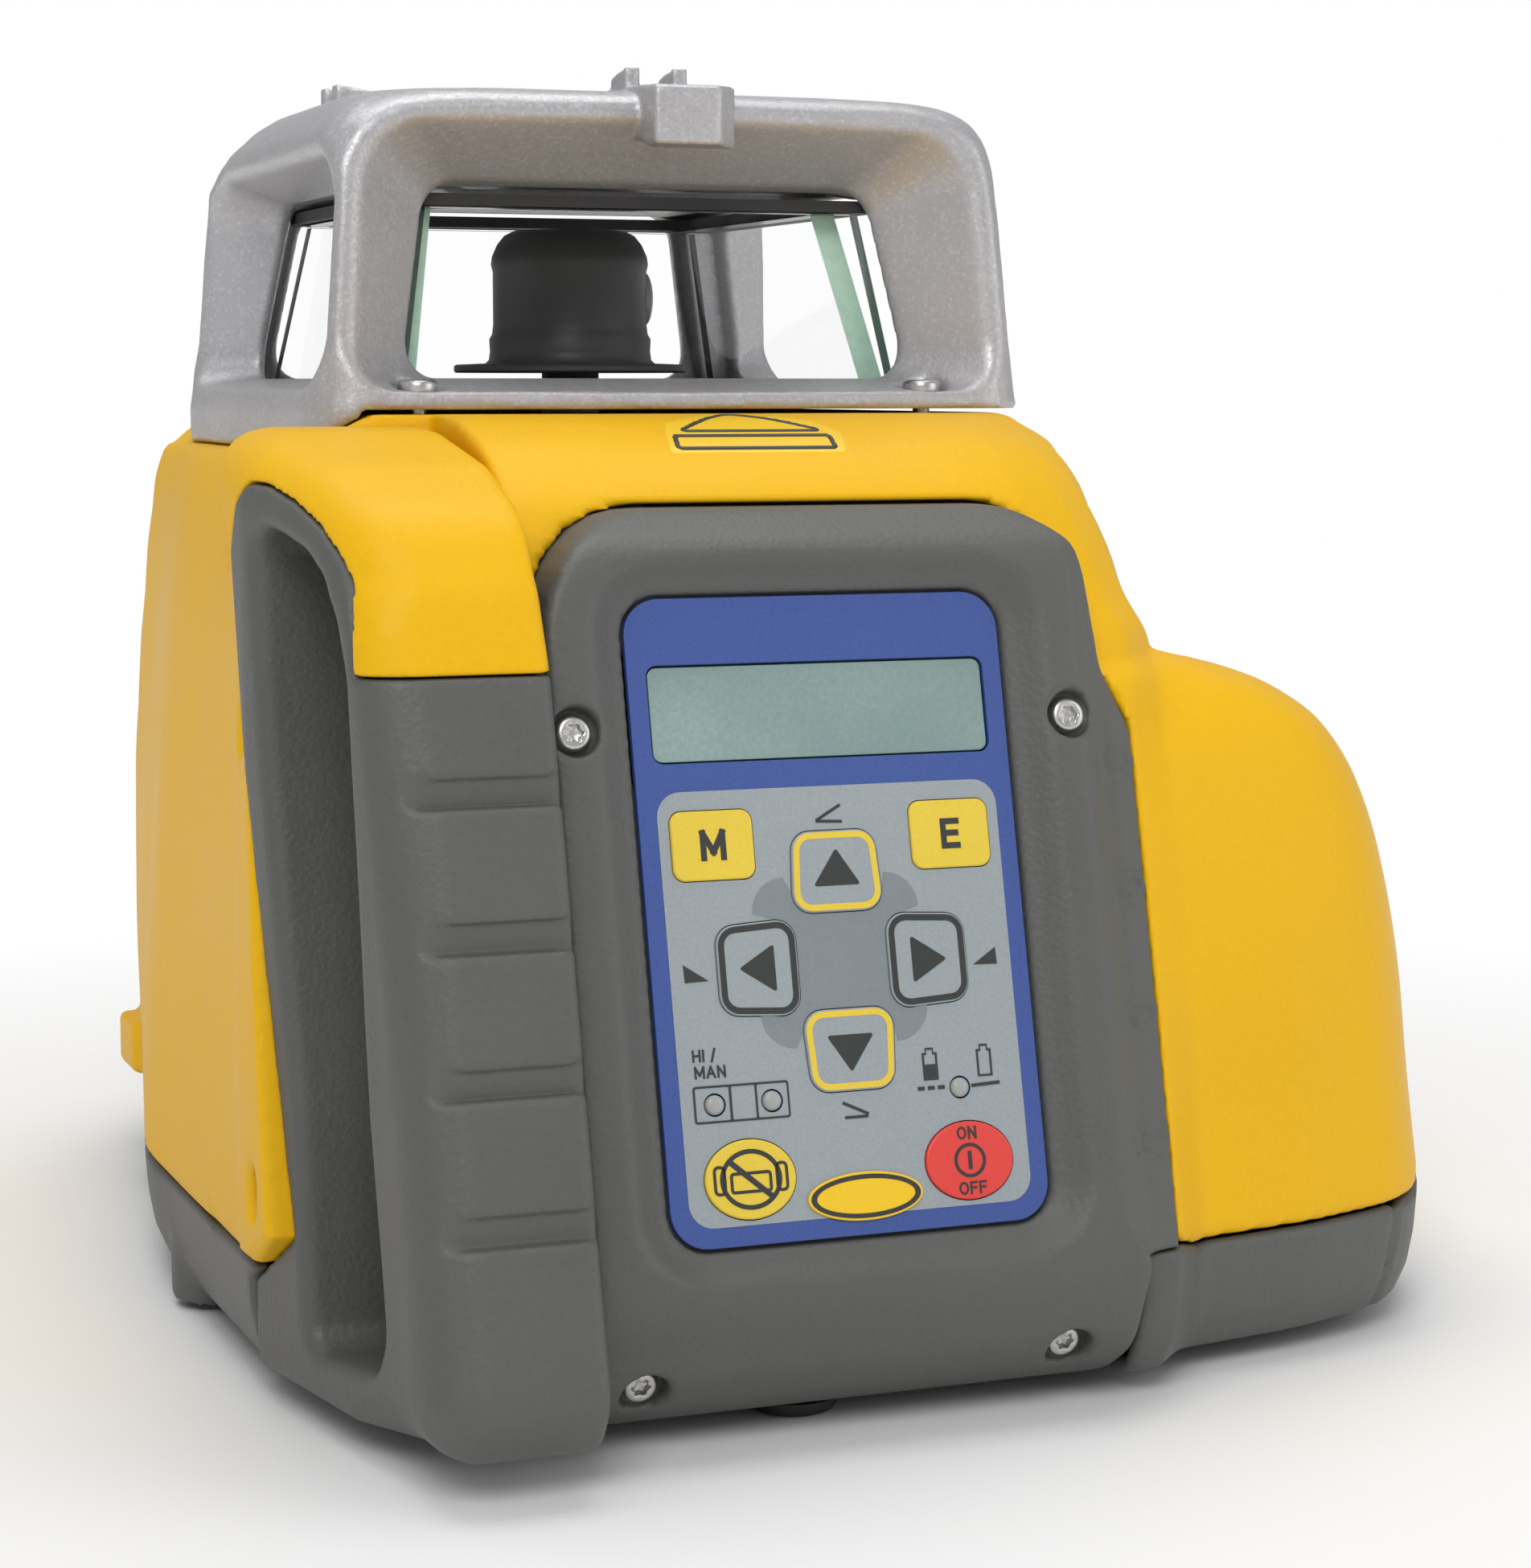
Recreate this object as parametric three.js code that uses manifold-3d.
// Self-levelling rotating laser level, in millimetres, +Z up.
// The design frame has its origin on the rotor axis at the ground, with the keypad facing -Y.
// The exported group moves that frame so that the part's origin is the bottom centre of its box.
import * as THREE from "three";
import { mergeVertices } from "three/addons/utils/BufferGeometryUtils.js";
import Module from "manifold-3d";

// ---------------------------------------------------------------- driving dimensions
const LENGTH_BACK = 122.5; // rotor axis to the rear of the housing
const LENGTH_FRONT = 151; // rotor axis to the front of the grip
const WIDTH_LEFT = 78.5;
const WIDTH_RIGHT = 119.5;
const PARTING_Z = 21; // seam between the base and the upper housing
const DECK_Z = 143.7; // flat top of the upper housing, under the lighthouse
const BOX_MIDDLE = { x: 20.6, y: -14.06 }; // the part's origin, seen from the rotor axis
const WALL = 3; // moulded wall
const GAP = 0.3; // clearance between pieces that touch
const PANEL_TILT = THREE.MathUtils.degToRad(13.77);
const PANEL_TOP = new THREE.Vector3(0, -115.1, 108.7); // middle of the display's upper edge
const GIMBAL_Z = 100; // height of the two tilt axes
const ACTUATOR_Z = 66; // height at which the levelling plungers meet the barrel
const GRIP_RIGHT = -41.8; // inner face of the handle
const NOSE_LEFT = -41.4; // left wall of the keypad nose, beside the handle
const CAGE_BASE_Z = DECK_Z + GAP;
const CAGE_TOP_Z = 194.3;
const PANE_DISTANCE = 43.9; // rotor axis to the windows' outer faces at PANE_LEVEL
const PANE_LEVEL = 161;
const PANE_SPLAY = 0.18; // the windows lean in by this much for each unit of height
const CELL_RADIUS = 16.5;
const CELL_LENGTH = 61;
const BAY_X = 86; // middle of the battery bay

const wasm = await Module();
wasm.setup();

// ---------------------------------------------------------------- materials
const finish = (color, roughness, metalness = 0, more = {}) =>
  new THREE.MeshStandardMaterial({ color, roughness, metalness, ...more });
const YELLOW = finish(0xe6ba0a, 0.5);
const DARK_PLASTIC = finish(0x64645f, 0.6);
const CAST_METAL = finish(0xa5a5a8, 0.45, 0.8);
const BLUE_FILM = finish(0x3e5696, 0.5);
const LCD_GLASS = finish(0x8ca5a0, 0.2);
const KEY_YELLOW = finish(0xdcc33c, 0.5);
const KEY_GREY = finish(0x969ea2, 0.5);
const KEY_RED = finish(0xd7413c, 0.5);
const LENS = finish(0xc8cdc8, 0.2, 0, { transparent: true, opacity: 0.6 });
const STEEL = finish(0xb4b4b8, 0.3, 0.9);
const BRASS = finish(0xb59a4c, 0.35, 0.9);
const RUBBER = finish(0x1c1c1c, 0.8);
const GLASS = finish(0xd5efe4, 0.05, 0, { transparent: true, opacity: 0.35 });
const ROTOR_PLASTIC = finish(0x3c3c3a, 0.5);
const BOARD = finish(0x1f5a33, 0.6);
const CELL = finish(0x2f4a86, 0.4);

// ---------------------------------------------------------------- solids and shapes
// Turns a closed geometry into a solid that can be cut and joined.
function solid(geometry) {
  const bare = geometry.index ? geometry.toNonIndexed() : geometry.clone();
  bare.deleteAttribute("normal");
  bare.deleteAttribute("uv");
  const merged = mergeVertices(bare, 1e-4);
  return new wasm.Manifold(
    new wasm.Mesh({
      numProp: 3,
      vertProperties: merged.attributes.position.array,
      triVerts: new Uint32Array(merged.index.array),
    }),
  );
}

function geometryOf(body) {
  const mesh = body.getMesh();
  const geometry = new THREE.BufferGeometry();
  geometry.setAttribute("position", new THREE.BufferAttribute(mesh.vertProperties, 3));
  geometry.setIndex(new THREE.BufferAttribute(mesh.triVerts, 1));
  const flat = geometry.toNonIndexed();
  flat.computeVertexNormals();
  return flat;
}

const cut = (body, ...tools) => tools.reduce((rest, tool) => rest.subtract(tool), body);
const join = (body, ...others) => others.reduce((sum, other) => sum.add(other), body);

// A polygon with rounded corners: each point is [x, y, radius], in counter-clockwise order.
function roundedPolygon(points, arcSteps = 4) {
  const outline = [];
  points.forEach(([x, y, radius = 0], i) => {
    const corner = new THREE.Vector2(x, y);
    const [px, py] = points[(i + points.length - 1) % points.length];
    const [nx, ny] = points[(i + 1) % points.length];
    const toPrevious = new THREE.Vector2(px, py).sub(corner);
    const toNext = new THREE.Vector2(nx, ny).sub(corner);
    const half = Math.abs(toPrevious.angleTo(toNext)) / 2;
    const room = Math.min(toPrevious.length(), toNext.length()) * 0.49;
    const reach = Math.min(radius / Math.tan(half), room);
    if (reach < 0.01) {
      outline.push(corner);
      return;
    }
    const fillet = reach * Math.tan(half);
    const start = corner.clone().addScaledVector(toPrevious.normalize(), reach);
    const end = corner.clone().addScaledVector(toNext.normalize(), reach);
    const bisector = toPrevious.clone().add(toNext).normalize();
    const centre = corner.clone().addScaledVector(bisector, fillet / Math.sin(half));
    const from = start.sub(centre).angle();
    let sweep = end.sub(centre).angle() - from;
    sweep = THREE.MathUtils.euclideanModulo(sweep + Math.PI, 2 * Math.PI) - Math.PI;
    for (let k = 0; k <= arcSteps; k++) {
      const angle = from + (sweep * k) / arcSteps;
      const spoke = new THREE.Vector2(Math.cos(angle), Math.sin(angle));
      outline.push(centre.clone().addScaledVector(spoke, fillet));
    }
  });
  return outline;
}

const rectangle = (width, height, radius, x = 0, y = 0) => [
  [x - width / 2, y - height / 2, radius],
  [x + width / 2, y - height / 2, radius],
  [x + width / 2, y + height / 2, radius],
  [x - width / 2, y + height / 2, radius],
];

function extruded(points, depth, arcSteps) {
  const shape = new THREE.Shape(roundedPolygon(points, arcSteps));
  return new THREE.ExtrudeGeometry(shape, { depth, bevelEnabled: false });
}

// Extrusions along the three axes: plan outlines in (x, y), front outlines in (x, z) and side
// outlines in (y, z).
const alongZ = (points, z0, z1, steps) =>
  solid(extruded(points, z1 - z0, steps).translate(0, 0, z0));
const alongY = (points, y0, y1, steps) =>
  solid(extruded(points, y1 - y0, steps).rotateX(Math.PI / 2).translate(0, y1, 0));
function alongX(points, x0, x1, steps) {
  const turn = new THREE.Matrix4().makeBasis(
    new THREE.Vector3(0, 1, 0),
    new THREE.Vector3(0, 0, 1),
    new THREE.Vector3(1, 0, 0),
  );
  return solid(extruded(points, x1 - x0, steps).applyMatrix4(turn).translate(x0, 0, 0));
}

// A solid through a stack of rings, each {z, ring}, with the same number of points in every ring.
function loft(levels) {
  const count = levels[0].ring.length;
  const positions = [];
  for (const { z, ring } of levels) for (const p of ring) positions.push(p.x, p.y, z);
  const index = [];
  for (let k = 0; k + 1 < levels.length; k++) {
    for (let i = 0; i < count; i++) {
      const a = k * count + i;
      const b = k * count + ((i + 1) % count);
      index.push(a, b, b + count, a, b + count, a + count);
    }
  }
  const top = (levels.length - 1) * count;
  for (const [a, b, c] of THREE.ShapeUtils.triangulateShape(levels[0].ring, []))
    index.push(a, c, b);
  for (const [a, b, c] of THREE.ShapeUtils.triangulateShape(levels.at(-1).ring, []))
    index.push(top + a, top + b, top + c);
  const geometry = new THREE.BufferGeometry();
  geometry.setAttribute("position", new THREE.Float32BufferAttribute(positions, 3));
  geometry.setIndex(index);
  return solid(geometry);
}

const box = (x0, x1, y0, y1, z0, z1) =>
  solid(
    new THREE.BoxGeometry(x1 - x0, y1 - y0, z1 - z0).translate(
      (x0 + x1) / 2,
      (y0 + y1) / 2,
      (z0 + z1) / 2,
    ),
  );

// A cylinder on the line from one point to another.
function rod(from, to, radius, sides = 18, endRadius = radius) {
  const a = new THREE.Vector3(...from);
  const b = new THREE.Vector3(...to);
  const direction = b.clone().sub(a);
  const geometry = new THREE.CylinderGeometry(endRadius, radius, direction.length(), sides);
  const turn = new THREE.Quaternion().setFromUnitVectors(
    new THREE.Vector3(0, 1, 0),
    direction.clone().normalize(),
  );
  geometry.applyQuaternion(turn);
  geometry.translate(...a.add(b).multiplyScalar(0.5).toArray());
  return solid(geometry);
}

// A turned solid about +Z, from [radius, z] points listed upwards.
function turned(points, sides = 24) {
  const profile = points.map(([r, z]) => new THREE.Vector2(r, z));
  return solid(new THREE.LatheGeometry(profile, sides).rotateX(Math.PI / 2));
}

const ringZ = (outer, inner, z0, z1, sides = 24) =>
  cut(rod([0, 0, z0], [0, 0, z1], outer, sides), rod([0, 0, z0 - 1], [0, 0, z1 + 1], inner, sides));

const level = new THREE.Group();
function piece(name, body, material, parent = level) {
  const mesh = new THREE.Mesh(geometryOf(body), material);
  mesh.name = name;
  parent.add(mesh);
  return mesh;
}

// ---------------------------------------------------------------- housing surface
// The tower carries the lighthouse. Each row is a height with the front, the left edge at the
// front, middle and rear, the rear, the right side, and the corner radii at the front and rear.
const TOWER = [
  [PARTING_Z, -126, -76, -WIDTH_LEFT, -54, LENGTH_BACK, 68, 24, 36],
  [45, -122, -75.8, -77.6, -55, 122, 67, 24, 36],
  [75, -118, -75.5, -75.4, -56, 117, 66.5, 24, 34],
  [100, -112.5, -75, -73.2, -57, 105, 64.8, 27, 32],
  [118, -107.5, -74, -71.3, -58, 92, 63, 29, 30],
  [130, -101, -71.5, -69.2, -59, 80, 61.3, 31, 27],
  [138, -91, -67, -65.6, -59, 70, 60, 30, 24],
  [142.3, -79, -61.5, -61.6, -58, 63.5, 58.7, 30, 21],
  [DECK_Z, -72, -58.5, -59.4, -57, 61, 57.8, 26, 20],
];
// The shoulder holds the batteries beside the tower: height, front beside the keypad's flange,
// front beyond it, right side, rear, and the radius of the rear corner.
const SHOULDER = [
  [PARTING_Z, -133.5, -125.3, WIDTH_RIGHT, 98, 14],
  [38, -129.3, -122.2, 118.5, 97.5, 14],
  [55, -125.2, -120.4, 117, 97, 14],
  [73, -120.8, -116.9, 114, 96, 14],
  [85, -117.8, -113.6, 109.6, 95, 14],
  [94, -115.6, -110.2, 102.3, 92, 16],
  [100, -113.5, -106, 92, 87, 18],
  [104.5, -110, -99, 78, 78, 16],
  [106.5, -103, -90, 66, 66, 8],
];
const FLANGE_EDGE = 50.3; // right edge of the keypad's flange
const SHOULDER_START = 58;

function towerRing([, front, leftFront, left, leftRear, rear, right, rFront, rRear], inset) {
  return roundedPolygon([
    [leftFront + inset, front + inset, rFront - inset],
    [right - inset, front + inset, rFront - inset],
    [right - inset, rear - inset, rRear - inset],
    [leftRear + inset, rear - inset, rRear - inset],
    [left + inset, -12, 90],
  ]);
}

function shoulderRing([, flange, front, right, rear, rRear], inset) {
  const scale = (right - SHOULDER_START) / (WIDTH_RIGHT - SHOULDER_START);
  return roundedPolygon(
    [
      [0, flange + inset],
      [FLANGE_EDGE - inset / 3, flange + inset],
      [SHOULDER_START - inset / 3, front + inset, 6],
      [right - 39.5 * scale, front + 3.8 * scale + inset, 50],
      [right - 18 * scale - 0.7 * inset, front + 11.1 * scale + 0.9 * inset, 28],
      [right - inset, front + 39.8 * scale, 50],
      [right - inset, rear - inset, rRear - inset],
      [0, rear - inset],
    ],
    3,
  );
}

const lofted = (rows, ringOf, inset, drop) =>
  loft(rows.map((row) => ({ z: row[0] - drop, ring: ringOf(row, inset) })));

// The hand space at the front left corner, where the handle stands in front of a yellow strip.
const handSpace = (clearance = 0) =>
  alongX(
    [
      [-200, -5],
      [-84, -5],
      [-84, 18],
      [-97.5 + clearance, 27],
      [-75.6 + clearance, 124],
      [-61 + clearance, 140.6 + clearance],
      [-61 + clearance, 160],
      [-200, 160],
    ],
    -100,
    NOSE_LEFT - GAP,
  );

// ---------------------------------------------------------------- keypad panel frame
// Its X runs along the panel, its Y up the slope and its Z out of the panel.
const panel = new THREE.Group();
panel.position.copy(PANEL_TOP);
panel.rotation.x = Math.PI / 2 - PANEL_TILT;
panel.updateMatrix();
const onPanel = (body) => solid(geometryOf(body).applyMatrix4(panel.matrix));

// Keys: name, place across, distance down from the display's upper edge, size and material.
const KEYS = [
  ["key_manual", -18.1, 25.7, 12.2, 9.8, 1.8, KEY_YELLOW],
  ["key_enter", 18.1, 25.7, 12.2, 9.8, 1.8, KEY_YELLOW],
  ["key_up", 0, 30.2, 14, 11.6, 3, KEY_GREY],
  ["key_left", -12.9, 43.4, 12, 13.8, 3, KEY_GREY],
  ["key_right", 12.9, 43.4, 12, 13.8, 3, KEY_GREY],
  ["key_down", 0, 55.5, 14, 11.6, 3, KEY_GREY],
  ["key_standby", -16.6, 72.4, 13.6, 11.2, 5.2, KEY_YELLOW],
  ["key_power", 16.6, 72.4, 13.6, 11.2, 5.2, KEY_RED],
];
const KEY_RISE = 0.5;
const LAMPS = [
  [-20.9, 61.8],
  [-12.4, 61.8],
  [16.2, 62],
];
const DISPLAY = { width: 51.6, height: 14 };
const FILM = { width: 57.4, top: 9.6, bottom: 81.6, radius: 5.5 };
const filmHeight = FILM.bottom + FILM.top;
const filmMiddle = (FILM.top - FILM.bottom) / 2;

const keyBlank = ([, x, down, width, height, radius], grow, z0, z1) =>
  alongZ(rectangle(width + 2 * grow, height + 2 * grow, radius + grow, x, -down), z0, z1, 3);

function makeKeypad() {
  let film = alongZ(rectangle(FILM.width, filmHeight, FILM.radius, 0, filmMiddle), -1.2, 0);
  for (const key of KEYS) film = cut(film, keyBlank(key, GAP, -2, 1));
  for (const [x, down] of LAMPS) film = cut(film, rod([x, -down, -2], [x, -down, 1], 1.8, 10));
  film = cut(film, alongZ(rectangle(DISPLAY.width, DISPLAY.height, 1.5, 0, -7), -2, 1));
  piece("keypad_film", film, BLUE_FILM, panel);
  const display = join(
    alongZ(rectangle(DISPLAY.width - 0.6, DISPLAY.height - 0.6, 1.2, 0, -7), -2.4, -0.4),
    box(-28, 28, -16.5, 1.8, -5.2, -2.2),
  );
  piece("display_module", display, LCD_GLASS, panel);
  for (const key of KEYS)
    piece(key[0], keyBlank(key, 0, -2.2, KEY_RISE), key[6], panel);
  LAMPS.forEach(([x, down], i) => {
    const lens = turned([[0, -2.4], [1.45, -2.4], [1.45, 0], [1, 0.45], [0, 0.6]], 10);
    piece("lamp_lens_" + (i + 1), lens.translate(x, -down, 0), LENS, panel);
  });
  piece("keypad_board", box(-27, 27, -80, -18, -6.2, -4.6), BOARD, panel);
}

// ---------------------------------------------------------------- front bezel
const RIDGE = 3.7; // the bezel's ridge stands this far out of the panel
const ridgeY = (z, rise) => {
  const down = (PANEL_TOP.z - z) * Math.tan(PANEL_TILT);
  return PANEL_TOP.y - down - rise / Math.cos(PANEL_TILT);
};
const BEZEL_SCREWS = [
  [-37.6, -121, 100.5],
  [37.9, -121, 100.5],
  [-32.4, -133.2, 9.5],
  [32.4, -133.2, 9.5],
];
const panelNormal = new THREE.Vector3(0, -Math.cos(PANEL_TILT), Math.sin(PANEL_TILT));
const lowNormal = new THREE.Vector3(0, -Math.cos(0.35), -Math.sin(0.35));
const screwNormal = (i) => (i < 2 ? panelNormal : lowNormal);

function screwHead(at, normal, headRadius, length) {
  const head = new THREE.Vector3(...at);
  const point = (distance) => head.clone().addScaledVector(normal, distance).toArray();
  const whole = join(
    rod(point(-2), point(0), headRadius, 12),
    rod(point(-length), point(-1.9), headRadius * 0.5, 8),
  );
  return cut(whole, rod(point(-1.2), point(1), headRadius * 0.45, 6));
}

function makeBezel() {
  const side = [
    [-99, 131, 3],
    [-105, 130.2, 8],
    [ridgeY(124, RIDGE), 124, 8],
    [ridgeY(24, RIDGE), 24, 14],
    [-134, 9, 12],
    [-125, 2.6, 4],
    [-96, 2.6],
    [-96, 60],
  ];
  const front = [
    [NOSE_LEFT, 2.6, 1],
    [43, 2.6, 1],
    [43.4, 22.7],
    [FLANGE_EDGE, 22.7],
    [FLANGE_EDGE, 97, 6],
    [45.5, 106.5, 6],
    [42, 130.6, 24],
    [NOSE_LEFT, 130.6, 19],
  ];
  const inner = [
    [-90, 126],
    [ridgeY(120, -3.2), 120, 4],
    [ridgeY(20, -3.2), 20, 8],
    [-122, 6.5],
    [-90, 6.5],
  ];
  const innerFront = [
    [NOSE_LEFT + WALL, 0],
    [40, 0],
    [40, 26],
    [46, 26],
    [46, 92],
    [40, 104],
    [38, 126.5, 18],
    [NOSE_LEFT + WALL, 126.5, 16],
  ];
  let bezel = alongX(side, -60, 70).intersect(alongY(front, -160, -90));
  bezel = cut(bezel, alongX(inner, -60, 70).intersect(alongY(innerFront, -160, -80)));
  // The panel recess has sloping sides.
  const recess = (grow, z) => ({
    z,
    ring: roundedPolygon(
      rectangle(FILM.width + 2 * grow, filmHeight + 2 * grow, FILM.radius + grow, 0, filmMiddle),
    ),
  });
  bezel = cut(bezel, onPanel(loft([recess(GAP, -1.5), recess(GAP, 0), recess(7.5, 4.4)])));
  // The right flange lies lower than the ridge and slopes back.
  const overFlange = [[42, 9], [42.6, 1], [46, -1.8, 4], [FLANGE_EDGE + 1, -3.2], [60, -3.2], [60, 9]];
  bezel = cut(bezel, onPanel(alongY(overFlange.reverse(), -92, 4)));
  for (const key of KEYS) bezel = cut(bezel, onPanel(keyBlank(key, 0.5, -9, 0)));
  for (const [x, down] of LAMPS)
    bezel = cut(bezel, onPanel(rod([x, -down, -9], [x, -down, 0], 1.9, 10)));
  bezel = cut(bezel, onPanel(box(-28.4, 28.4, -17, 2.2, -9, -1)));
  BEZEL_SCREWS.forEach((at, i) => {
    const head = new THREE.Vector3(...at);
    const point = (distance) => head.clone().addScaledVector(screwNormal(i), distance).toArray();
    bezel = cut(bezel, rod(point(-2.3), point(9), 3.5, 14), rod(point(-9), point(0), 1.6, 8));
  });
  piece("front_bezel", bezel, DARK_PLASTIC);
  BEZEL_SCREWS.forEach((at, i) => {
    piece("bezel_screw_" + (i + 1), screwHead(at, screwNormal(i), 2.6, 6), STEEL);
  });
}

// ---------------------------------------------------------------- upper housing
const CAGE_SCREWS = [
  [-42, -55.2],
  [42, -55.2],
  [-42, 55.2],
  [42, 55.2],
];
const JACK = { x: -34, y: LENGTH_BACK - 2, z: 36 };
const DOOR = { x0: BAY_X - 16.6, x1: BAY_X + 18.4, z0: 7.5, z1: 80 };

function makeUpperHousing() {
  const outer = join(
    lofted(TOWER, towerRing, 0, 0),
    lofted(SHOULDER, shoulderRing, 0, 0),
  );
  const core = join(
    lofted([0, 3, 4, 5, 6, 7].map((i) => TOWER[i]), towerRing, WALL, WALL / 2),
    lofted([0, 3, 5, 6, 7].map((i) => SHOULDER[i]), shoulderRing, WALL, WALL),
    box(-40, 110, -60, 80, 0, PARTING_Z + 5),
  );
  let shell = cut(outer, core, box(-200, 200, -200, 200, 0, PARTING_Z));
  shell = cut(shell, handSpace());
  // The bezel's opening in the front wall.
  const opening = [
    [NOSE_LEFT - 0.6, 0],
    [FLANGE_EDGE + GAP, 0],
    [FLANGE_EDGE + GAP, 97.1, 6],
    [45.9, 106.7, 6],
    [42.4, 131, 24],
    [NOSE_LEFT - 0.6, 131, 19],
  ];
  shell = cut(shell, alongY(opening, -160, -94));
  shell = cut(shell, rod([0, 0, 120], [0, 0, 160], 42, 32));
  shell = cut(shell, box(DOOR.x0 - GAP, DOOR.x1 + GAP, 80, 130, 0, DOOR.z1 + GAP));
  shell = cut(
    shell,
    rod([JACK.x, 100, JACK.z], [JACK.x, 140, JACK.z], 7.3, 18),
    alongY(rectangle(18, 24, 7, JACK.x, JACK.z - 3), JACK.y - 0.9, 140),
  );
  for (const [x, y] of CAGE_SCREWS) shell = cut(shell, rod([x, y, 130], [x, y, 150], 1.8, 8));
  for (const [y, z] of [[-80.7, 99.8], [-92, 33.5]])
    shell = cut(shell, rod([-90, y + 1, z], [-73.5, y + 1, z], 2.6, 10));
  return shell;
}

// ---------------------------------------------------------------- base housing
function makeBase() {
  const tower = TOWER[0];
  const shoulder = SHOULDER[0];
  const rim = PARTING_Z - GAP;
  const stack = (ringOf, row) => [
    { z: 2.4, ring: ringOf(row, 7) },
    { z: 4.6, ring: ringOf(row, 3.4) },
    { z: 9, ring: ringOf(row, 1) },
    { z: rim, ring: ringOf(row, 0) },
  ];
  const hollow = (ringOf, row) => [
    { z: 5.8, ring: ringOf(row, 9) },
    { z: 9.5, ring: ringOf(row, 4.4) },
    { z: rim + 1, ring: ringOf(row, WALL) },
  ];
  let base = join(loft(stack(towerRing, tower)), loft(stack(shoulderRing, shoulder)));
  base = cut(base, loft(hollow(towerRing, tower)), loft(hollow(shoulderRing, shoulder)));
  base = cut(base, handSpace(), box(-60, 43.7, -160, -95.6, 0, 40));
  base = cut(base, box(DOOR.x0 - GAP, DOOR.x1 + GAP, 80, 130, DOOR.z0 - GAP, 40));
  // The well carries the gimbal's outer pins on the Y axis and lets the plungers through.
  const well = cut(
    rod([0, 0, 3], [0, 0, 105], 42, 32),
    rod([0, 0, 6], [0, 0, 110], 38, 28),
    rod([0, -50, GIMBAL_Z], [0, 50, GIMBAL_Z], 2.75, 12),
    rod([30, 0, ACTUATOR_Z], [50, 0, ACTUATOR_Z], 4.2, 8),
    rod([0, -50, ACTUATOR_Z], [0, -30, ACTUATOR_Z], 4.2, 8),
  );
  base = join(base, well);
  base = cut(base, rod([0, 0, 0], [0, 0, 12], 16.3, 24));
  return base;
}

// ---------------------------------------------------------------- handle
const GRIP_FRONT = [
  [-125.6, 108.8],
  [-132.2, 85],
  [-141.2, 50],
  [-147.8, 25],
];
// Seam between the yellow cover and the dark frame of the handle, from the front to the rear.
const HANDLE_SEAM = [
  [-118, 108.8],
  [-116.5, 113.5, 5],
  [-109, 125, 12],
  [-95, 131.8, 10],
  [-79, 129.5, 7],
  [-76, 123],
];
const FINGER_HOLE = [
  [-128, 15.5, 8],
  [-111.5, 15.5, 7],
  [-98.5, 78, 20],
  [-91, 118, 20],
  [-90.5, 127, 5],
  [-100, 125, 8],
  [-109.5, 108, 12],
  [-117, 85, 30],
  [-125, 50, 30],
  [-133, 25, 12],
];

// The left face of the handle comes in towards the front.
const leftFaceCut = () =>
  alongZ([[-100, -160], [-67.5, -160], [-67.5, -128, 20], [-76, -84, 10], [-76, -50], [-100, -50]], -5, 160);

function makeHandle() {
  const frameOutline = [
    ...HANDLE_SEAM.slice().reverse(),
    ...GRIP_FRONT,
    [-LENGTH_FRONT, 14, 5],
    [-LENGTH_FRONT + 5, 6, 6],
    [-128, 4.6, 14],
    [-92, 4.4, 6],
    [-88, 18, 5],
    [-97.8, 27],
  ];
  let frame = alongX(frameOutline, -76, GRIP_RIGHT);
  frame = cut(frame, alongX(FINGER_HOLE, -90, -45), leftFaceCut());
  const slotAt = (z) => {
    const y = ridgeY(z, 0) + (GRIP_FRONT[0][0] - ridgeY(GRIP_FRONT[0][1], 0)) - 1.6;
    return alongY(rectangle(22, 3.8, 1.8, -54, z), y - 3, y + 2.6);
  };
  for (const z of [93.5, 74.5, 55.8, 37]) frame = cut(frame, slotAt(z));
  piece("handle_frame", frame, DARK_PLASTIC);
  const coverOutline = [
    [-125.3, 109.2],
    [-118.3, 109.2],
    [-116.8, 113.9, 5],
    [-109.3, 125.3, 12],
    [-95, 132.1, 10],
    [-78.7, 129.8, 7],
    [-75.9, 123.9],
    [-61.4, 140.2],
    [-61.4, 141.5, 1],
    [-75, 139.3, 20],
    [-104, 131.8, 24],
    [-121, 119, 12],
  ];
  let cover = alongX(coverOutline.slice().reverse(), -76, GRIP_RIGHT);
  cover = cut(cover, leftFaceCut());
  piece("handle_cover", cover, YELLOW);
}

// ---------------------------------------------------------------- lighthouse
const paneDistance = (z) => PANE_DISTANCE - (z - PANE_LEVEL) * PANE_SPLAY;

// The flared opening of one side, cut outwards from the pane.
function flare() {
  const section = (distance) => {
    const out = distance - PANE_DISTANCE;
    const low = 149 - 0.164 * out;
    const high = 178 + 0.685 * out;
    const middle = (low + high) / 2;
    const radius = 5 + 0.35 * out;
    return rectangle(2 * (39.1 + out), high - low, Math.max(radius, 3), 0, middle);
  };
  // The rings are drawn in (x, height) and then stood up to face -Y.
  const rings = [36, PANE_DISTANCE, 66].map((distance) => ({
    z: distance,
    ring: roundedPolygon(section(Math.max(distance, PANE_DISTANCE)), 4),
  }));
  return solid(geometryOf(loft(rings)).rotateX(Math.PI / 2));
}


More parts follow.
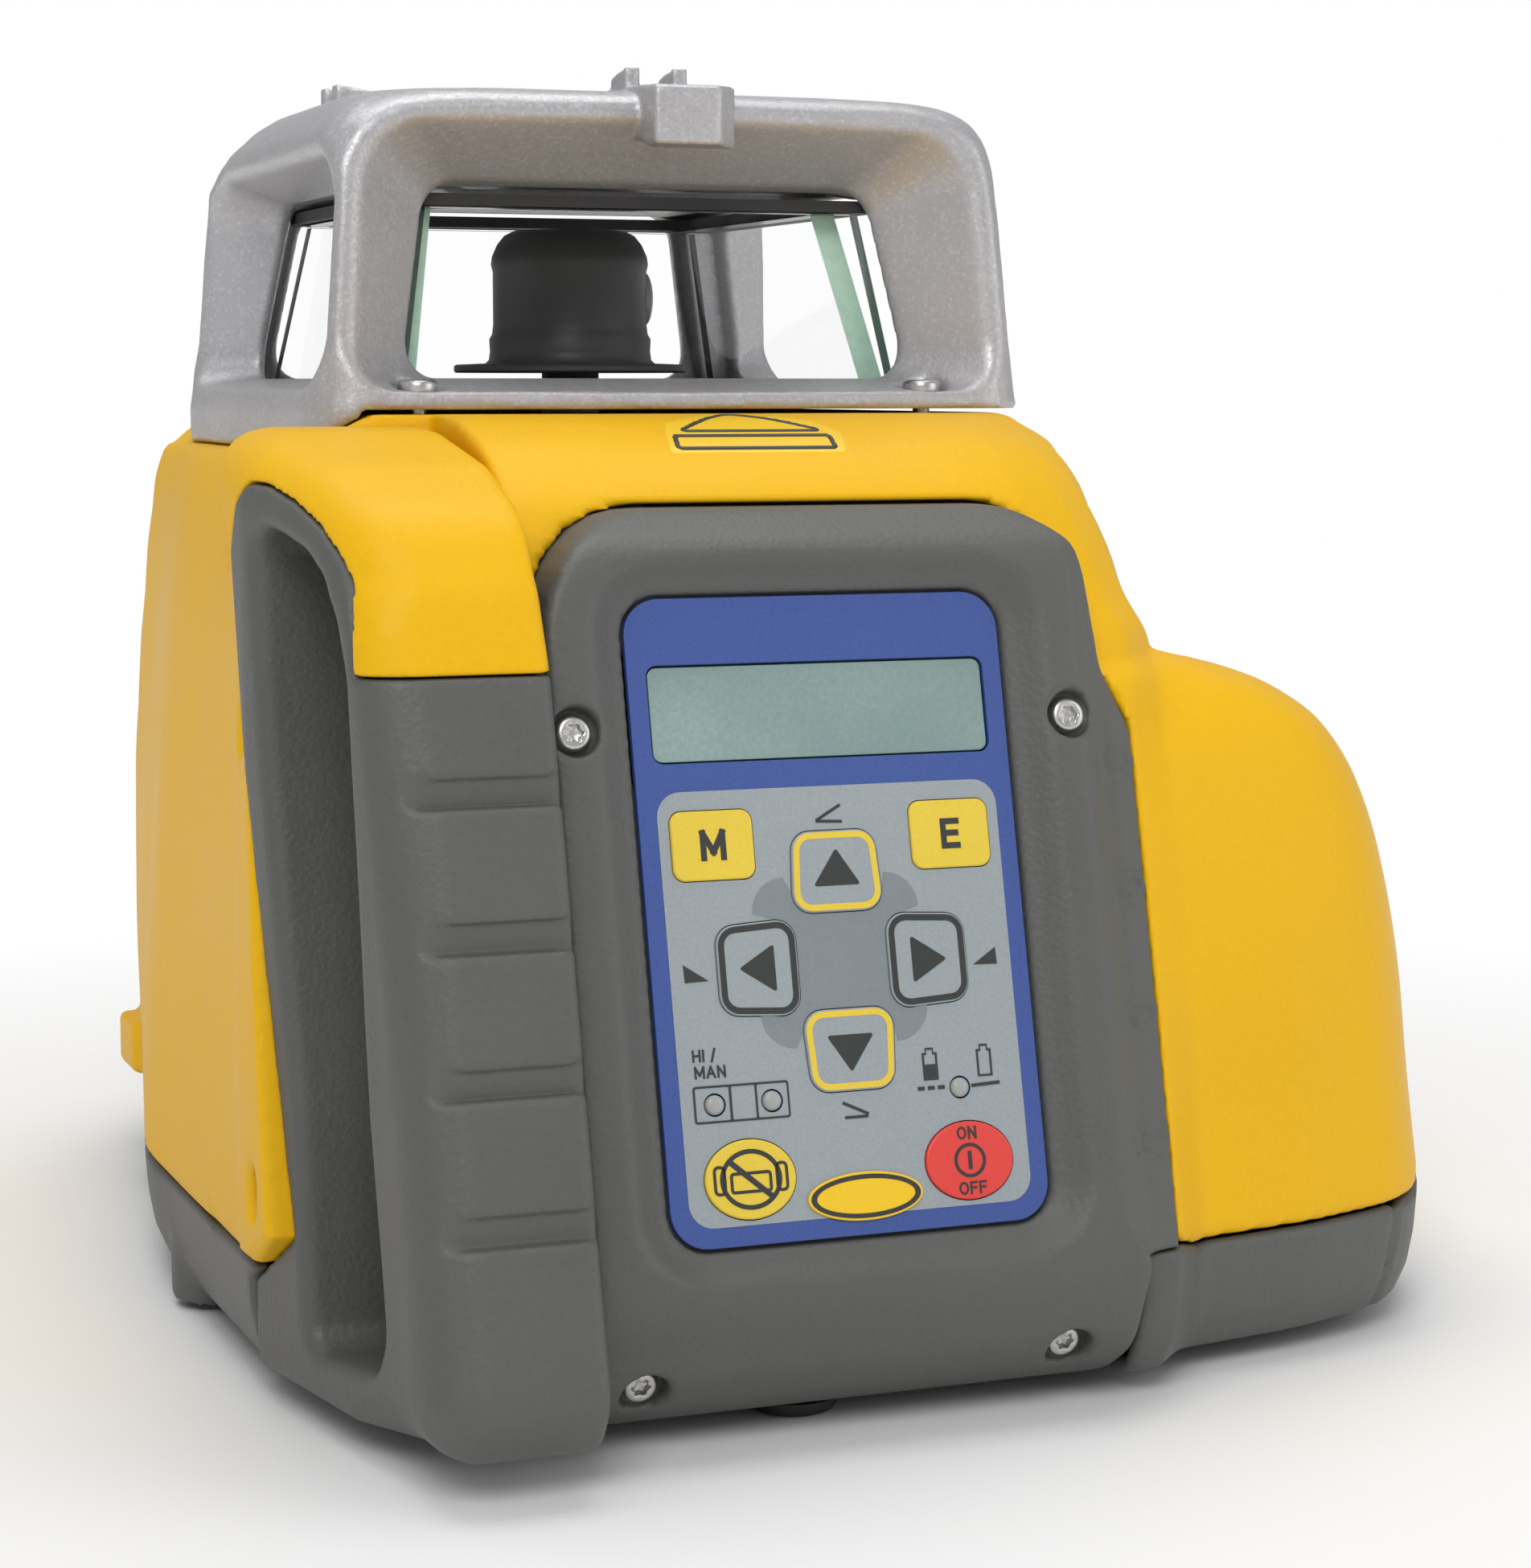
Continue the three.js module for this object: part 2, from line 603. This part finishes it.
function makeLighthouse() {
  const square = (half, radius, z, bulge = 0) => ({
    z,
    ring: roundedPolygon([
      [-half, -half, radius],
      [0, -half - bulge, 60],
      [half, -half, radius],
      [half, half - 3, 22],
      [1.5 - half, half - 3, 23],
    ]),
  });
  let cage = loft([
    square(60, 9, CAGE_BASE_Z, 2),
    square(59.6, 9, 147, 2),
    square(57.2, 10, 184, 1.6),
    square(55.4, 11, 189.5, 1.6),
    square(51.5, 13, 192.8, 1.4),
    square(45, 14, CAGE_TOP_Z, 1),
  ]);
  const inside = (half, z) => ({ z, ring: roundedPolygon(rectangle(2 * half, 2 * half, 2)) });
  cage = cut(
    cage,
    loft([inside(paneDistance(146.8), 146.8), inside(paneDistance(178), 178)]),
    rod([0, 0, 140], [0, 0, 150], 26, 30),
  );
  const opening = flare();
  for (let i = 0; i < 4; i++) cage = cut(cage, opening.rotate([0, 0, 90 * i]));
  // The gun sight: a notched block over the front edge and a low bump over the left edge.
  const sight = cut(
    alongX([[-61.4, 184, 1], [-56, 184], [-47, 190], [-47, 195.5, 1], [-60, 196, 2]], -6.5, 6.5),
    box(-2, 2, -70, -40, 194.6, 200),
  );
  const blades = join(
    box(-7.6, -3.4, -59.2, -52, 190, 198),
    box(3.4, 7.6, -59.2, -52, 190, 198),
  );
  cage = join(cage, sight, blades, box(-53, -38, -6, 6, 190, 195.6));
  CAGE_SCREWS.forEach(([x, y]) => {
    cage = cut(cage, rod([x, y, 146.2], [x, y, 152], 3.9, 14), rod([x, y, 140], [x, y, 150], 1.7, 8));
  });
  piece("lighthouse", cage, CAST_METAL);
  const gasketOuter = paneDistance(176.8) - GAP;
  piece(
    "lighthouse_gasket",
    cut(
      alongZ(rectangle(2 * gasketOuter, 2 * gasketOuter, 2), 175.8, 177.7),
      alongZ(rectangle(64, 64, 4), 170, 180),
    ),
    RUBBER,
  );
  CAGE_SCREWS.forEach(([x, y], i) => {
    piece("cage_screw_" + (i + 1), screwHead([x, y, 148.6], new THREE.Vector3(0, 0, 1), 3.1, 10), STEEL);
  });
}

function makeWindows() {
  const thick = 3.4;
  const low = 147.1;
  const high = 175.5;
  const outerY = (z) => -paneDistance(z) + GAP;
  const pane = (half) =>
    alongX(
      [
        [outerY(low), low],
        [outerY(low) + thick, low],
        [outerY(high) + thick, high],
        [outerY(high), high],
      ],
      -half,
      half,
    );
  const wide = pane(paneDistance(high) - 1.4);
  const narrow = pane(paneDistance(high) - thick - 1);
  piece("window_front", wide, GLASS);
  piece("window_rear", wide.rotate([0, 0, 180]), GLASS);
  piece("window_left", narrow.rotate([0, 0, -90]), GLASS);
  piece("window_right", narrow.rotate([0, 0, 90]), GLASS);
}

// ---------------------------------------------------------------- rotor, optics and gimbal
const MOTOR_X = 29; // rotor axis to the rotor motor's axis
const BELT_Z = 134;

function makeRotor() {
  const profile = [
    [0, 128.4], [4.9, 128.4], [4.9, 150], [20, 150], [20, 151.2], [13.9, 151.4],
    [13.3, 154], [13.3, 167], [12.6, 170.8], [10.6, 173.6], [0, 174],
  ];
  let head = turned(profile, 28);
  head = cut(head, rod([6, 0, 162.5], [30, 0, 162.5], 5.2, 16));
  piece("rotor_head", head, ROTOR_PLASTIC);
  piece("rotor_window", rod([9.5, 0, 162.5], [12.1, 0, 162.5], 4.9, 16), GLASS);
  piece("rotor_pulley", ringZ(12, 5.2, BELT_Z - 0.5, BELT_Z + 4.5, 24), BRASS);
}

function makeOptics() {
  const bracket = alongZ([[10, -9, 2], [MOTOR_X + 10, -9, 9], [MOTOR_X + 10, 9, 9], [10, 9, 2]], 121.5, 124.5);
  const bore = join(
    rod([0, 0, 50], [0, 0, 140], 6, 16),
    rod([0, 0, 127], [0, 0, 140], 9.8, 20),
    rod([MOTOR_X, 0, 110], [MOTOR_X, 0, 130], 2.2, 8),
  );
  const pins = rod([-20.6, 0, GIMBAL_Z], [20.6, 0, GIMBAL_Z], 2.4, 10);
  const barrel = cut(
    join(
      rod([0, 0, 62], [0, 0, 126], 16, 24),
      rod([0, 0, 126], [0, 0, 131], 12.5, 24),
      bracket,
      pins,
      rod([16, 0, GIMBAL_Z], [24.2, 0, GIMBAL_Z], 2.4, 10),
      rod([-24.2, 0, GIMBAL_Z], [-16, 0, GIMBAL_Z], 2.4, 10),
    ),
    bore,
  );
  piece("optics_barrel", barrel, CAST_METAL);
  const bearing = ringZ(9.5, 5.2, 127.3, 130.8, 20);
  piece("spindle_bearing", bearing, STEEL);
  const laser = cut(
    join(rod([0, 0, 53], [0, 0, 61.7], 9, 16), rod([0, 0, 61.6], [0, 0, 68], 5.6, 14)),
    rod([0, 0, 60], [0, 0, 70], 2, 8),
  );
  piece("laser_module", laser, BRASS);
  const ring = cut(
    join(
      ringZ(29, 20.8, GIMBAL_Z - 4, GIMBAL_Z + 4, 26),
      rod([0, 28, GIMBAL_Z], [0, 40.4, GIMBAL_Z], 2.4, 10),
      rod([0, -40.4, GIMBAL_Z], [0, -28, GIMBAL_Z], 2.4, 10),
    ),
    rod([-40, 0, GIMBAL_Z], [40, 0, GIMBAL_Z], 2.75, 12),
  );
  piece("gimbal_ring", ring, CAST_METAL);
  piece(
    "rotor_motor",
    join(rod([MOTOR_X, 0, 111.5], [MOTOR_X, 0, 121.2], 8.6, 18), rod([MOTOR_X, 0, 121], [MOTOR_X, 0, 131.5], 1.6, 8)),
    STEEL,
  );
  piece(
    "motor_pulley",
    cut(rod([MOTOR_X, 0, BELT_Z - 0.5], [MOTOR_X, 0, BELT_Z + 4.5], 5, 16), rod([MOTOR_X, 0, 130], [MOTOR_X, 0, 133.6], 1.9, 8)),
    BRASS,
  );
  const loop = (grow) => {
    const hull = (r, cx, from, to) => {
      const points = [];
      for (let k = 0; k <= 9; k++) {
        const angle = from + ((to - from) * k) / 9;
        points.push([cx + r * Math.cos(angle), r * Math.sin(angle)]);
      }
      return points;
    };
    const lean = Math.asin((12 - 5) / MOTOR_X);
    const quarter = Math.PI / 2;
    return [
      ...hull(12 + grow, 0, quarter - lean, 2 * Math.PI - quarter + lean),
      ...hull(5 + grow, MOTOR_X, -quarter + lean, quarter - lean),
    ];
  };
  const belt = cut(alongZ(loop(1.6), BELT_Z, BELT_Z + 4, 1), alongZ(loop(GAP), BELT_Z - 1, BELT_Z + 5, 1));
  piece("drive_belt", belt, RUBBER);
}

function makeLevelling() {
  // One plunger pushes the barrel along X and the other along Y.
  for (const [name, turn] of [["x", 0], ["y", -90]]) {
    const z = ACTUATOR_Z;
    const plunger = join(rod([16.6, 0, z], [20, 0, z], 1.2, 12, 3.2), rod([19.9, 0, z], [52, 0, z], 3.2, 8));
    const motor = cut(rod([46, 0, z], [62, 0, z], 8, 18), rod([40, 0, z], [57.5, 0, z], 3.8, 12));
    piece("level_plunger_" + name, plunger.rotate([0, 0, turn]), BRASS);
    piece("level_motor_" + name, motor.rotate([0, 0, turn]), STEEL);
  }
}

// ---------------------------------------------------------------- power and electronics
function makePower() {
  for (let i = 0; i < 4; i++) {
    const y0 = -35 + (i % 2) * (CELL_LENGTH + 0.6);
    const z = i < 2 ? 27 : 61;
    const cell = join(
      rod([BAY_X, y0, z], [BAY_X, y0 + CELL_LENGTH - 1.6, z], CELL_RADIUS, 18),
      rod([BAY_X, y0 + CELL_LENGTH - 1.7, z], [BAY_X, y0 + CELL_LENGTH, z], 4.5, 10),
    );
    piece("battery_cell_" + (i + 1), cell, CELL);
  }
  const y = SHOULDER[0][4];
  const width = DOOR.x1 - DOOR.x0;
  const knobAt = [DOOR.x0 + 11, 44];
  const plate = cut(
    join(
      alongY(
        rectangle(width, DOOR.z1 - DOOR.z0, 3, (DOOR.x0 + DOOR.x1) / 2, (DOOR.z0 + DOOR.z1) / 2),
        y - 4,
        y - 1,
      ),
      box(BAY_X - 12, BAY_X + 12, y - 4, y - 0.2, 14, 17),
    ),
    rod([knobAt[0], y - 10, knobAt[1]], [knobAt[0], y + 5, knobAt[1]], 4.4, 14),
  );
  piece("battery_door", plate, YELLOW);
  const knob = join(
    rod([knobAt[0], y - 6.6, knobAt[1]], [knobAt[0], y - 4.4, knobAt[1]], 6.6, 16),
    rod([knobAt[0], y - 5, knobAt[1]], [knobAt[0], y + 0.2, knobAt[1]], 4, 14),
    rod([knobAt[0], y - 0.6, knobAt[1]], [knobAt[0], y + 1.2, knobAt[1]], 8, 18),
    box(knobAt[0] - 1.4, knobAt[0] + 1.4, y + 1, y + 4.6, knobAt[1] - 7.4, knobAt[1] + 7.4),
  );
  piece("door_knob", knob, DARK_PLASTIC);
}

function makeCharger() {
  const [x, y, z] = [JACK.x, JACK.y, JACK.z];
  const jack = cut(
    join(rod([x, y - 14, z], [x, y - 3.2, z], 6.4, 18), rod([x, y - 4, z], [x, y - 1, z], 6.9, 18)),
    rod([x, y - 11, z], [x, y + 1, z], 4.2, 14),
  );
  piece("charger_jack", jack, RUBBER);
  const cap = join(
    rod([x, y - 1.8, z], [x, y - 0.4, z], 3.2, 14, 3.7),
    rod([x, y - 0.6, z], [x, y + 1.6, z], 8.6, 18),
    box(x - 3, x + 3, y + 0.1, y + 1.6, z - 13, z - 7),
  );
  piece("charger_cap", cap, RUBBER);
}

function makeBoardAndFeet() {
  piece("main_board", box(-64, -62.4, -62, 24, 26, 96), BOARD);
  const insert = cut(
    join(rod([0, 0, 1.4], [0, 0, 2.2], 15, 24), rod([0, 0, 2.2], [0, 0, 13], 16, 24)),
    rod([0, 0, 0], [0, 0, 20], 7.6, 18),
  );
  piece("tripod_insert", insert, BRASS);
  const foot = (x, y) => rod([x, y, 0], [x, y, 2.2], 6.2, 16, 6.8);
  piece("foot_front", foot(-4, -116), RUBBER);
  piece("foot_rear_left", foot(-44, 92), RUBBER);
  piece("foot_rear_right", foot(96, 76), RUBBER);
}

// ---------------------------------------------------------------- assembly
piece("base_housing", makeBase(), DARK_PLASTIC);
piece("upper_housing", makeUpperHousing(), YELLOW);
makeBezel();
makeKeypad();
makeHandle();
makeLighthouse();
makeWindows();
makeRotor();
makeOptics();
makeLevelling();
makePower();
makeCharger();
makeBoardAndFeet();
level.add(panel);

const part = new THREE.Group();
part.add(level);
level.position.set(-BOX_MIDDLE.x, -BOX_MIDDLE.y, 0);
export default part;
